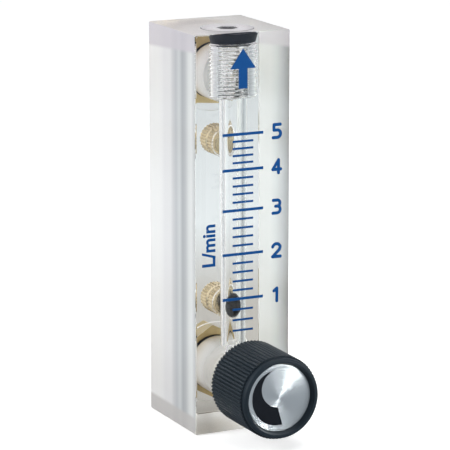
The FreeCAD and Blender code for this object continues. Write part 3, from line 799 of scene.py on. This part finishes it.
@dataclass
class AcrylicBlock:
    """The clear block: outer faces, metering bore, ports, valve bore and insert holes."""

    finishes: Finishes
    edge: float = 0.3
    seat_hole: float = 4.4
    seat_rise: float = 7.4
    bore_foot: float = 6.65
    bore_head: float = 7.5
    plug_thread: float = 12.0
    plug_pitch: float = 1.0
    plug_thread_depth: float = 0.4
    head: float = 13.5
    head_recess: float = 13.7
    port_thread: float = 13.6
    port_pitch: float = 1.25
    port_thread_depth: float = 0.4
    port_floor: float = 0.2
    passage_overlap: float = 0.5
    spotface: float = 21.0
    gas_passage: float = 5.0
    inlet_passage: float = 4.8
    valve_thread: float = 10.0
    valve_nose: float = 8.6
    valve_seal_mouth: float = 11.8
    valve_seal_depth: float = 1.5
    valve_thread_depth: float = 6.5
    valve_nose_gap: float = 0.02
    insert: float = 8.0
    insert_gap: float = 0.3
    polished: float = 0.3
    bite: float = 0.12

    def build(self) -> Object:
        """Cut every bore out of the stock.

        Returns:
            The finished block.
        """
        self.box = Extent.of("meter_block")
        self.ball = Extent.of("float_ball").centre
        block = self.stock()
        for cutter in (self.metering_bore(), self.port("outlet"), self.port("inlet"),
                       self.valve_bore(), self.insert_hole("lower_mount_insert"),
                       self.insert_hole("upper_mount_insert")):
            change(block, Cut.TAKE_AWAY, cutter)
        return finish(block, "meter", ["meter_block"])

    def stock(self) -> Object:
        """The block before it is drilled, with its edges broken."""
        bm = bmesh.new()
        bmesh.ops.create_cube(bm, size=1.0)
        bmesh.ops.scale(bm, vec=self.box.high - self.box.low, verts=bm.verts)
        shift(bm, self.box.centre)
        bmesh.ops.bevel(bm, geom=list(bm.edges), offset=self.edge, offset_type="OFFSET",
                        affect="EDGES", segments=2, profile=0.5, material=-1)
        for face in bm.faces:
            if abs(face.normal.y) < self.polished:
                if abs(face.normal.z) > abs(face.normal.x):
                    face.material_index = 3 if face.normal.z > 0 else 4
                else:
                    face.material_index = 1 if face.normal.x < 0 else 2
        return solid(bm, "acrylic_block", self.finishes.clear, self.finishes.left,
                     self.finishes.right, self.finishes.top, self.finishes.foot)

    def metering_bore(self) -> Object:
        """The cutter of the tapered bore, its seat and the plug's thread and recess."""
        port = Extent.of("inlet_seal").centre.z
        seal, shoulder = Extent.of("top_plug_seal"), Extent.of("float_stop").low.z
        seat, above = port + self.seat_rise, self.box.high.z + 1
        bore = self.plug_thread / 2
        corners = [
            (0, port), (self.seat_hole / 2, port), (self.seat_hole / 2, seat),
            (self.bore_foot / 2, seat), (self.bore_head / 2, shoulder),
            *thread(bore, bore + self.plug_thread_depth, shoulder, seal.low.z - self.bite,
                    self.plug_pitch),
            (bore - self.bite, seal.low.z + self.bite),
            (self.head / 2 - self.bite, seal.high.z - self.bite),
            (self.head / 2 - self.bite, seal.high.z), (self.head_recess / 2, seal.high.z),
            (self.head_recess / 2, above), (0, above)]
        return solid(turned(corners, Along.Z, (0, self.ball.y, 0)), "bore_cutter",
                     self.finishes.clear)

    def port(self, name: str) -> Object:
        """The cutter of a rear port: gas passage, thread, seal cone and spotface.

        Args:
            name: inlet or outlet.

        Returns:
            The cutter.
        """
        seal = Extent.of(name + "_seal")
        behind = self.box.high.y + 1
        start, passage = (self.ball.y, self.gas_passage) if name == "outlet" else (
            Extent.of("valve_body").high.y - self.passage_overlap, self.inlet_passage)
        bore = self.port_thread / 2
        corners = [
            (0, start), (passage / 2, start), (passage / 2, self.port_floor),
            *thread(bore, bore + self.port_thread_depth, self.port_floor, seal.low.y,
                    self.port_pitch),
            (bore - self.bite, seal.low.y), (seal.high.x - self.bite, seal.high.y),
            (self.spotface / 2, seal.high.y), (self.spotface / 2, behind), (0, behind)]
        bm = turned(corners, Along.Y, (0, 0, seal.centre.z))
        for face in bm.faces:
            if face.calc_center_median().y > seal.low.y:
                face.material_index = 1
            elif abs(face.normal.y) > 0.99:
                face.material_index = 2
        return solid(bm, "port_cutter", self.finishes.port_bore[name],
                     self.finishes.spotface, self.finishes.port_floor[name])

    def valve_bore(self) -> Object:
        """The cutter of the valve cartridge's bore."""
        front = self.box.low.y
        floor = Extent.of("valve_body").high.y + self.valve_nose_gap
        mouth, bore, nose = self.valve_seal_mouth / 2, self.valve_thread / 2, self.valve_nose / 2
        step = front + self.valve_thread_depth
        corners = [
            (0, front - 1), (mouth, front - 1), (mouth, front),
            (bore, front + self.valve_seal_depth), (bore, step), (nose, step), (nose, floor),
            (0, floor)]
        centre = (0, 0, Extent.of("inlet_seal").centre.z)
        return solid(turned(corners, Along.Y, centre), "valve_cutter",
                     self.finishes.port_bore["inlet"])

    def insert_hole(self, node: str) -> Object:
        """The cutter of an insert's drilled hole.

        Args:
            node: the insert's CAD node.

        Returns:
            The cutter.
        """
        insert = Extent.of(node)
        floor, behind = insert.low.y - self.insert_gap, self.box.high.y + 1
        held = self.insert / 2 - 4 * self.bite
        corners = [(0, floor - self.insert / 4), (self.insert / 2, floor),
                   (self.insert / 2, insert.low.y + self.bite), (held, insert.low.y + self.bite),
                   (held, behind), (0, behind)]
        return solid(turned(corners, Along.Y, (0, 0, insert.centre.z)), "insert_cutter",
                     self.finishes.clear)


@dataclass
class TopPlug:
    """The clear plug over the bore, its seal and the stop for the ball."""

    finishes: Finishes
    neck: float = 10.4
    fit: float = 0.05
    pitch: float = 1.0
    thread_depth: float = 0.4
    hollow: float = 7.4
    hollow_margin: float = 1.2
    cross_hole: float = 5.0
    socket: float = 4.9
    socket_depth: float = 4.5
    chamfer: float = 0.22
    under_edge: float = 0.08

    def build(self) -> None:
        """Turn the plug, broach its socket and drill its cross hole; dress the rest."""
        plug, seal = Extent.of("top_plug"), Extent.of("top_plug_seal")
        head = plug.high.x
        stem = Extent.of("float_stop").high.x
        outlet = Extent.of("outlet_seal").centre.z
        roof = outlet + self.cross_hole / 2 + self.hollow_margin
        centre = (0, plug.centre.y, 0)
        corners = [
            (0, roof), (self.hollow / 2, roof), (self.hollow / 2, plug.low.z),
            *thread(stem, stem - self.thread_depth, plug.low.z, seal.low.z, self.pitch),
            (self.neck / 2, seal.low.z), (self.neck / 2, seal.high.z),
            (head - self.under_edge, seal.high.z), (head, seal.high.z + self.under_edge),
            (head, plug.high.z - self.chamfer),
            (head - self.chamfer, plug.high.z), (0, plug.high.z)]
        bm = turned(corners, Along.Z, centre)
        for face in bm.faces:
            if face.normal.z > 0.5 and face.calc_center_median().z > seal.high.z:
                face.material_index = 1 if face.normal.z > 0.95 else 2
        made = solid(bm, "threaded_plug", self.finishes.clear, self.finishes.head,
                     self.finishes.joint)
        change(made, Cut.TAKE_AWAY, solid(
            hexagonal(self.socket, plug.high.z - self.socket_depth, plug.high.z + 1, Along.Z,
                      centre), "socket_cutter", self.finishes.socket))
        across = [(0, plug.low.y - 1), (self.cross_hole / 2, plug.low.y - 1),
                  (self.cross_hole / 2, plug.high.y + 1), (0, plug.high.y + 1)]
        change(made, Cut.TAKE_AWAY, solid(
            turned(across, Along.Y, (0, 0, outlet), steps=48), "gas_way_cutter",
            self.finishes.clear))
        finish(made, "meter", ["top_plug"])
        dress(self.finishes.rubber, "top_plug_seal")
        dress(self.finishes.steel, "float_stop")


@dataclass
class PortFitting:
    """A brass hexagon adapter in a rear port, and its seal."""

    finishes: Finishes
    name: str
    flats: float = 17.0
    hex_edge: float = 0.9
    turn: float = 0.0
    neck: float = 12.4
    pitch: float = 1.25
    thread_depth: float = 0.4
    pipe_mouth: float = 10.3
    pipe_bore: float = 8.7
    pipe_depth: float = 9.5
    pipe_thread: float = 0.35
    pipe_pitch: float = 0.9
    corner: float = 0.25
    passage: float = 5.0
    stem: float = 13.5
    lead: float = 0.4
    bite: float = 0.04

    def build(self) -> None:
        """Turn the shank, add the hexagon, and bore and thread the pipe socket."""
        fitting, seal = Extent.of(self.name + "_fitting"), Extent.of(self.name + "_seal")
        centre = (0, 0, seal.centre.z)
        end, foot, stem = fitting.high.y, fitting.low.y, self.stem / 2
        shank = [
            (0, foot), (stem - self.lead, foot),
            *thread(stem, stem - self.thread_depth, foot + self.lead, seal.low.y, self.pitch),
            (self.neck / 2, seal.low.y), (self.neck / 2, seal.high.y + 1), (0, seal.high.y + 1)]
        made = solid(
            hexagonal(self.flats, seal.high.y - self.bite, end, Along.Y, centre, self.turn,
                      self.corner), self.name + "_adapter", self.finishes.fitting)
        corner = self.flats / 2 + 2 * self.hex_edge
        rounding = [
            (0, seal.high.y - 1), (corner, seal.high.y - 1), (corner, end - self.hex_edge),
            (self.flats / 2, end), (0, end)]
        change(made, Cut.KEEP_COMMON, solid(
            turned(rounding, Along.Y, centre), "rounding", self.finishes.fitting))
        change(made, Cut.JOIN, solid(
            turned(shank, Along.Y, centre), "shank", self.finishes.fitting))
        bore, floor = self.pipe_bore / 2, end - self.pipe_depth
        chamfer = self.pipe_mouth / 2 - bore
        socket = [
            (0, end + 1), (self.pipe_mouth / 2, end + 1), (self.pipe_mouth / 2, end),
            *thread(bore, bore - self.pipe_thread, end - chamfer, floor, self.pipe_pitch),
            (self.passage / 2, floor), (self.passage / 2, foot - 1), (0, foot - 1)]
        change(made, Cut.TAKE_AWAY, solid(
            turned(socket, Along.Y, centre), "socket", self.finishes.fitting))
        finish(made, "meter", [self.name + "_fitting"], 24.0)
        dress(self.finishes.rubber, self.name + "_seal")


@dataclass
class MountInsert:
    """A knurled brass insert for a panel screw."""

    finishes: Finishes
    node: str
    thread: float = 4.2
    waist: float = 1.6
    waist_depth: float = 0.3
    stud: float = 0.42
    stud_length: float = 1.4
    studs_round: int = 26
    end_wall: float = 1.5
    margin: float = 0.4
    chamfer: float = 0.3
    thread_depth: float = 0.3
    thread_pitch: float = 0.8

    def build(self) -> None:
        """Turn the bush with its stations at the knurl's pitch, and raise a stud on each face."""
        insert = Extent.of(self.node)
        outer = insert.high.x
        ground = outer - self.stud
        front, back, middle = insert.low.y, insert.high.y, insert.centre.y
        lands = ((front + self.margin, middle - self.waist / 2),
                 (middle + self.waist / 2, back - self.margin))
        corners: list[Corner] = []
        for start, stop in lands:
            rows = round((stop - start) / self.stud_length)
            corners += [(ground, start + (stop - start) * row / rows) for row in range(rows + 1)]
            if stop < middle:
                corners += [(outer - self.waist_depth, stop),
                            (outer - self.waist_depth, lands[1][0])]
        bore = self.thread / 2
        corners += [(ground - self.chamfer, back), (bore + self.margin, back)]
        corners += thread(bore, bore + self.thread_depth, back - self.margin,
                          front + self.end_wall, self.thread_pitch)
        corners += [(0, front + self.end_wall)]
        corners = [(0, front), (ground - self.chamfer, front), *corners]
        bm = turned(corners, Along.Y, (0, 0, insert.centre.z), steps=self.studs_round)
        middles = {face: face.calc_center_median() for face in bm.faces}
        on_land = [
            face for face, at in middles.items()
            if any(start < at.y < stop for start, stop in lands)
            and math.hypot(at.x, at.z - insert.centre.z) > ground - 0.1]
        bmesh.ops.poke(bm, faces=on_land, offset=self.stud, center_mode="MEAN")
        finish(solid(bm, self.node.replace("mount_", "knurled_"), self.finishes.insert),
               "meter", [self.node], 30.0)


@dataclass
class NeedleValve:
    """The valve cartridge, its seals and its stem, as the CAD has them."""

    finishes: Finishes

    def build(self) -> None:
        """Dress each piece."""
        dress(self.finishes.fitting, "valve_body", "knob_bush")
        dress(self.finishes.rubber, "valve_body_seal", "valve_nose_seal", "stem_seal")
        dress(self.finishes.steel, "valve_stem", "knob_set_screw")


@dataclass
class Knob:
    """The fluted knob, its smooth rim and the spun inlay sunk in it."""

    finishes: Finishes
    flutes: int = 70
    flute_depth: float = 0.38
    rim_step: float = 0.5
    rim_length: float = 1.75
    rim_edge: float = 0.6
    mouth: float = 0.5
    edge: float = 0.3
    wall: float = 1.65
    recess: float = 3.0
    boss: float = 12.6
    bush: float = 9.5
    bush_front: float = 4.1
    screw: float = 3.0
    screw_station: float = 9.1
    screw_turn: float = 45.0
    inlay_gap: float = 0.05
    flute_root: float = 0.02
    rim_slope: float = 0.1
    disc_edge: float = 0.16
    disc_round: float = 0.05

    def build(self) -> None:
        """Draw the shell out of one fluted ring, drill it, and turn the inlay."""
        self.box, self.inlay = Extent.of("knob_shell"), Extent.of("knob_inlay")
        shell = solid(self.shell(), "fluted_knob", self.finishes.plastic)
        change(shell, Cut.TAKE_AWAY, self.screw_hole())
        finish(shell, "spindle", ["knob_shell"], 28.0)
        self.disc()
        dress(self.finishes.black, "inlay_mark")

    def fluted_ring(self) -> BMesh:
        """One closed ring of edges with every flute in it, at station 0."""
        side = self.box.high.x
        bm = bmesh.new()
        profile = ((-0.5, self.flute_depth), (-0.3, 0.1), (-0.14, 0.0), (0.14, 0.0), (0.3, 0.1),
                   (0.5, self.flute_depth))
        pitch = 2 * math.pi / self.flutes
        verts = []
        for share, depth in profile:
            angle, radius = share * pitch, side - depth
            verts.append(bm.verts.new((radius * math.cos(angle), 0, radius * math.sin(angle))))
        edges = [bm.edges.new(pair) for pair in zip(verts, verts[1:])]
        bmesh.ops.spin(bm, geom=verts + edges, cent=(0, 0, 0), axis=(0, 1, 0),
                       angle=2 * math.pi * (self.flutes - 1) / self.flutes,
                       steps=self.flutes - 1, use_duplicate=True)
        bmesh.ops.remove_doubles(bm, verts=bm.verts, dist=1e-3)
        return bm

    @staticmethod
    def draw(bm: BMesh, ring: list[BMEdge], station: float,
             radius: float | None = None) -> list[BMEdge]:
        """Draw a ring of edges on to another station.

        Args:
            bm: the mesh.
            ring: the ring's edges.
            station: where the new ring lies.
            radius: the new ring's radius; without one it keeps its flutes.

        Returns:
            The new ring's edges.
        """
        made = bmesh.ops.extrude_edge_only(bm, edges=ring)["geom"]
        for vert in (item for item in made if isinstance(item, BMVert)):
            across = Vector((vert.co.x, 0, vert.co.z))
            if radius is not None:
                across = across.normalized() * radius
            vert.co = across + Vector((0, station, 0))
        return [item for item in made if isinstance(item, BMEdge)
                and all(abs(vert.co.y - station) < 1e-4 for vert in item.verts)
                and all(len(vert.link_edges) >= 2 for vert in item.verts)
                and item.is_boundary]

    def shell(self) -> BMesh:
        """The knob's moulding, from the fluted side to the rim and to the hollow back."""
        back, front = self.box.high.y, self.box.low.y
        side = self.box.high.x
        shoulder = front + self.rim_length
        rim, seat = side - self.rim_step, self.inlay.high.x + self.inlay_gap
        inner, boss = side - self.wall, self.boss / 2
        bm = self.fluted_ring()
        start = list(bm.edges)
        shift(bm, (0, back - self.edge, 0))
        ring = self.draw(bm, start, shoulder)
        rounding = [(front + self.rim_edge * (1 - math.sin(angle)),
                     rim - self.rim_edge * (1 - math.cos(angle)))
                    for angle in (math.pi / 2 * step / 5 for step in range(6))]
        for station, radius in (
                (shoulder - self.flute_root, side - self.flute_depth - self.flute_root),
                (shoulder - self.flute_root - self.rim_slope, rim), *rounding,
                (front, seat + self.mouth), (self.inlay.low.y, seat + self.inlay_gap),
                (self.inlay.high.y, seat), (self.inlay.high.y + 0.001, 0.0)):
            ring = self.draw(bm, ring, station, radius)
        ring = [edge for edge in bm.edges if edge.is_boundary
                and abs(edge.verts[0].co.y - (back - self.edge)) < 1e-4]
        for station, radius in (
                (back, side - self.flute_depth - self.edge), (back, inner),
                (back - self.recess, inner), (back - self.recess, boss), (back, boss),
                (back, self.bush / 2), (front + self.bush_front, self.bush / 2),
                (front + self.bush_front - 0.001, 0.0)):
            ring = self.draw(bm, ring, station, radius)
        bmesh.ops.remove_doubles(bm, verts=bm.verts, dist=1e-4)
        shift(bm, (0, 0, self.box.centre.z))
        bmesh.ops.recalc_face_normals(bm, faces=bm.faces)
        return bm

    def screw_hole(self) -> Object:
        """The cutter of the grub screw's hole."""
        radius, reach = self.screw / 2, self.box.high.x + 2
        bm = turned([(0, 0), (radius, 0), (radius, reach), (0, reach)], Along.Z, (0, 0, 0),
                    steps=32)
        roll(bm, 90 + self.screw_turn, "Y")
        shift(bm, (0, self.box.low.y + self.screw_station, self.box.centre.z))
        return solid(bm, "screw_cutter", self.finishes.plastic)

    def disc(self) -> None:
        """The spun inlay, with a fine turned edge."""
        face, back, radius = self.inlay.low.y, self.inlay.high.y, self.inlay.high.x
        corners = [(0, face), (radius - self.disc_edge, face),
                   (radius - self.disc_round, face + self.disc_round),
                   (radius, face + self.disc_edge), (radius, back), (0, back)]
        made = solid(turned(corners, Along.Y, (0, 0, self.inlay.centre.z), steps=128),
                     "spun_inlay", self.finishes.aluminium)
        finish(made, "spindle", ["knob_inlay"])


@dataclass
class Float:
    """The ball in the bore."""

    finishes: Finishes

    def build(self) -> None:
        """Grow a fine ball from an icosphere."""
        box = Extent.of("float_ball")
        radius = (box.high.z - box.low.z) / 2
        bm = bmesh.new()
        bmesh.ops.create_icosphere(bm, subdivisions=5, radius=radius)
        shift(bm, box.centre)
        finish(solid(bm, "glass_ball", self.finishes.black_glass), "float",
               ["float_ball"], 60.0)


@dataclass
class Print:
    """What is printed on the front face: scale, numbers, unit and flow arrow."""

    finishes: Finishes
    unit: str = "L/min"
    unit_height: float = 3.55
    unit_right: float = -7.75
    unit_foot: float = 43.0
    capital: float = 0.72
    weight: float = 0.14
    thickness: float = 0.05

    def build(self) -> None:
        """Dress the CAD's print and add the unit."""
        dress(self.finishes.blue, "scale_ticks", "scale_numbers", "flow_arrow")
        self.lettering(self.unit)

    def lettering(self, words: str) -> None:
        """Print words that read upwards, left of the scale.

        Args:
            words: what is printed.
        """
        curve = bpy.data.curves.new("unit_outline", "FONT")
        curve.body = words
        curve.size = self.unit_height * MM / self.capital
        curve.offset = self.weight * MM
        curve.extrude = self.thickness * MM / 2
        flat = placed("unit_outline", curve)
        bpy.context.view_layer.update()
        mesh = applied(flat)
        bpy.data.objects.remove(flat)
        front = Extent.of("scale_ticks")
        upright = Matrix.Rotation(math.radians(90), 4, "X")
        upward = Matrix.Rotation(math.radians(-90), 4, "Y")
        place = Matrix.Translation(Vector((self.unit_right, front.centre.y, self.unit_foot)) * MM)
        mesh.transform(place @ upward @ upright)
        mesh.materials.clear()
        mesh.materials.append(self.finishes.blue)
        made = placed("unit_print", mesh)
        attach(made, "meter")
        log.info("%s: %d faces, on meter", made.name, len(mesh.polygons))


# ---- Studio -------------------------------------------------------------------------------------

@dataclass
class Studio:
    """Floor, world, lamps and camera."""

    floor_half: float = 3.0
    gap: float = 0.0002
    shade_reach: float = 0.13
    shade_fade: float = 0.11
    eye: tuple[float, float, float] = (-0.29935, -0.62745, 0.20455)
    aim: tuple[float, float, float] = (0.00178, 0.0, 0.0501)
    lens: float = 224.0

    def build(self) -> None:
        """Set the stage."""
        self.render_depth()
        self.world()
        self.floor()
        for name, place, size, watts in (
                ("key_lamp", (0.7, -0.73, 0.16), 0.28, 4.4),
                ("fill_lamp", (0.4, -0.85, 0.36), 0.35, 2.4),
                ("top_lamp", (0.1, -0.15, 0.8), 0.5, 3.0),
                ("left_lamp", (-0.7, 0.1, 0.35), 0.5, 4.2)):
            self.lamp(name, place, size, watts)
        self.camera()

    @staticmethod
    def render_depth() -> None:
        """Let light pass through every wall of the clear block."""
        scene = bpy.context.scene
        scene.view_settings.view_transform = "Standard"
        scene.cycles.max_bounces = 32
        scene.cycles.transmission_bounces = 32
        scene.cycles.glossy_bounces = 16
        scene.cycles.transparent_max_bounces = 16

    def world(self) -> None:
        """White where it is seen; as light it is dimmer, and grey in front of the meter."""
        world = bpy.data.worlds.new("studio_world")
        bpy.context.scene.world = world
        shader = Shader(world)
        way = shader.parts(shader.add("ShaderNodeTexCoord")["Generated"])
        behind = (way["Y"] * 0.5 + 0.5).clamped()
        sky = shader.add("ShaderNodeValToRGB", {"stops": (
            (0.0, shade(140, 143, 147)), (0.4, shade(176, 180, 184)),
            (0.7, shade(226, 229, 231)), (1.0, shade(228, 232, 234)))}, {"Fac": behind})["Color"]
        path = shader.add("ShaderNodeLightPath")
        through = path["Is Transmission Ray"]
        sky = shader.blend((through + path["Is Camera Ray"]).clamped(), sky,
                           shade(244, 245, 245))
        shown = (path["Is Camera Ray"] + path["Is Glossy Ray"] + through).clamped()
        strength = shown + through * 0.35 + (1.0 - shown) * 0.7
        light = shader.add("ShaderNodeBackground", {}, {"Color": sky, "Strength": strength})
        shader.add("ShaderNodeOutputWorld", {}, {"Surface": light["Background"]})

    def floor(self) -> None:
        """A pale floor that reads white where nothing shades it; seen through the block it carries
        a painted shadow about the meter.
        """
        bm = bmesh.new()
        bmesh.ops.create_grid(bm, x_segments=2, y_segments=2, size=self.floor_half)
        shift(bm, (0, 0, -self.gap))
        mesh = bpy.data.meshes.new("studio_floor")
        bm.to_mesh(mesh)
        bm.free()
        shader = Shader.for_material("floor_paper")
        grain = shader.noise(shader.place(), 60.0, 2.0)
        paper = shader.blend(grain, shade(236, 236, 236), shade(240, 240, 240))
        path = shader.add("ShaderNodeLightPath")
        through = path["Is Transmission Ray"]
        mirrored = (path["Is Glossy Ray"] - through).clamped()
        # Painted shadow: seen through the block, the floor is painted darker near the meter.
        away = shader.vector("LENGTH", shader.place())
        clear_of_painted_shadow = ((away - self.shade_reach) / self.shade_fade).clamped()
        seen = shader.blend(clear_of_painted_shadow, shade(166, 162, 154), shade(221, 226, 226))
        paper = shader.blend(through, paper, seen)
        paper = shader.blend(mirrored, paper, shade(128, 132, 137))
        plain = shader.add("ShaderNodeBsdfDiffuse", {}, {"Color": paper})["BSDF"]
        strength = path["Is Camera Ray"] * 0.5 + through * 0.12 + mirrored * 0.04
        glow = shader.add("ShaderNodeEmission", {}, {
            "Color": (1, 1, 1, 1), "Strength": strength})["Emission"]
        both = shader.add("ShaderNodeAddShader", {}, {0: plain, 1: glow})["Shader"]
        shader.add("ShaderNodeOutputMaterial", {}, {"Surface": both})
        mesh.materials.append(shader.owner)
        floor = placed("studio_floor", mesh)

    @staticmethod
    def aimed(made: Object, place: Sequence[float], target: Sequence[float]) -> Object:
        """Stand a lamp or camera at a place and turn it to a target.

        Args:
            made: the lamp or camera.
            place: where it stands, in metres.
            target: what it looks at, in metres.

        Returns:
            The lamp or camera.
        """
        made.location = place
        way = Vector(target) - Vector(place)
        made.rotation_euler = way.to_track_quat("-Z", "Y").to_euler()
        return made

    @staticmethod
    def lamp(name: str, place: Sequence[float], size: float, watts: float) -> None:
        """A square soft box that faces the meter.

        Args:
            name: the lamp's name.
            place: where it stands, in metres.
            size: the length of its side.
            watts: its power.
        """
        light = bpy.data.lights.new(name, "AREA")
        light.shape, light.size, light.energy = "SQUARE", size, watts
        lamp = Studio.aimed(placed(name, light), place, (0, 0, 0.05))
        lamp.visible_transmission = False

    def camera(self) -> None:
        """A long lens from the front left, a little above."""
        lens = bpy.data.cameras.new("camera")
        lens.lens, lens.sensor_width = self.lens, 36.0
        lens.clip_start, lens.clip_end = 0.05, 20.0
        bpy.context.scene.camera = self.aimed(placed("camera", lens), self.eye, self.aim)


def main() -> None:
    """Build and dress the meter, then set the stage."""
    logging.basicConfig(level=logging.INFO, format="%(message)s")
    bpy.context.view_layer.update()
    finishes = Finishes()
    AcrylicBlock(finishes).build()
    TopPlug(finishes).build()
    for name, turn in (("inlet", 58.0), ("outlet", 35.0)):
        PortFitting(finishes, name, turn=turn).build()
    for node in ("lower_mount_insert", "upper_mount_insert"):
        MountInsert(finishes, node).build()
    NeedleValve(finishes).build()
    Knob(finishes).build()
    Float(finishes).build()
    Print(finishes).build()
    Studio().build()


if __name__ == "__main__":
    main()
